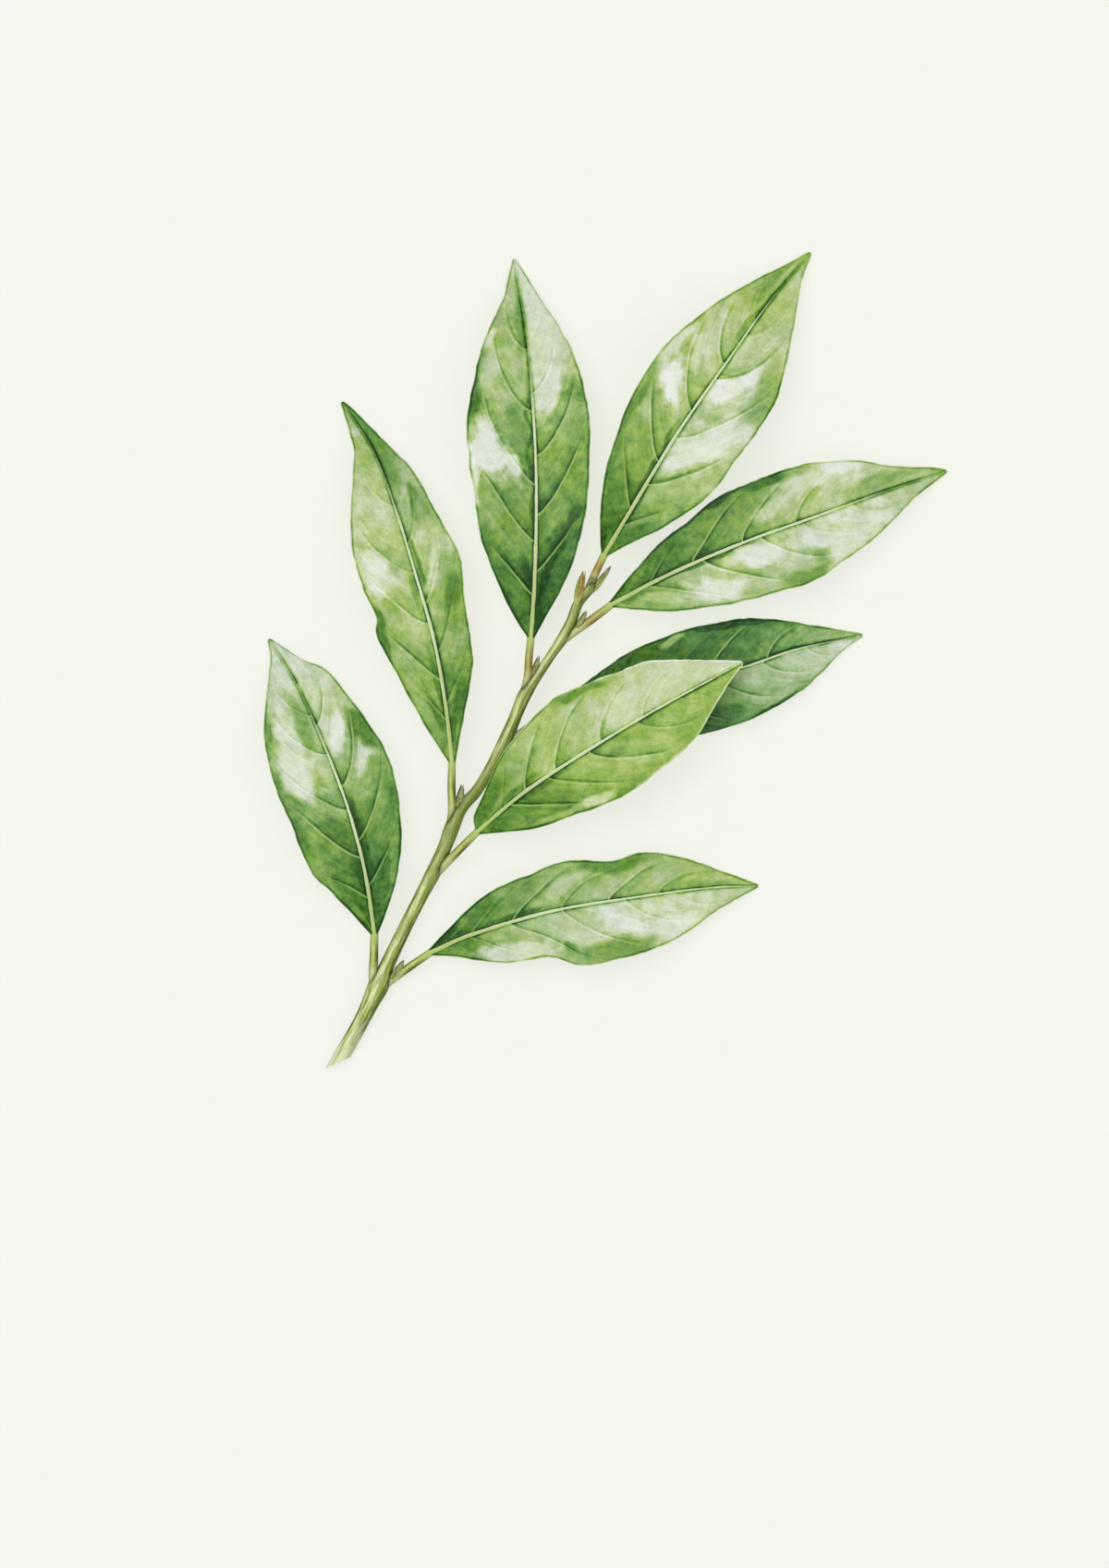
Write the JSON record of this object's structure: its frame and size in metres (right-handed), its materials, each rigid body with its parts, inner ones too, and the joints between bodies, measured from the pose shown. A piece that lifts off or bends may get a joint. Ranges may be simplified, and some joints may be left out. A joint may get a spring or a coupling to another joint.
{
  "type": "bay leaf branch",
  "caption": "Cut branch of bay laurel with alternate pointed glossy leaves on short stalks, small buds in the leaf angles and a slanted pruning cut, lying flat.",
  "frame": {"origin": "on the surface that the branch lies on, under the middle of its bounding box", "axes": "+Z up from that surface; +Y from the cut end towards the growing tip; +X to the right as seen from above with +Y up"},
  "size_m": [0.1629, 0.1948, 0.021],
  "materials": {
    "leaf_blade": "satin",
    "stem_bark": "matte",
    "bud_scale": "matte",
    "bud_brown": "matte"
  },
  "bodies": {
    "root": {"stem": "stem_bark", "leaf_lower_left": "leaf_blade", "leaf_lower_right": "leaf_blade", "leaf_middle_left": "leaf_blade", "leaf_middle_right": "leaf_blade", "leaf_back_right": "leaf_blade", "leaf_upper_left": "leaf_blade", "leaf_upper_right": "leaf_blade", "leaf_terminal": "leaf_blade", "bud_lower_right": "bud_scale", "bud_middle_left": "bud_scale", "bud_upper_left": "bud_scale", "bud_upper_right": "bud_scale", "bud_tip_right": "bud_scale", "bud_side_shoot": "bud_brown"}
  },
  "joints": []
}
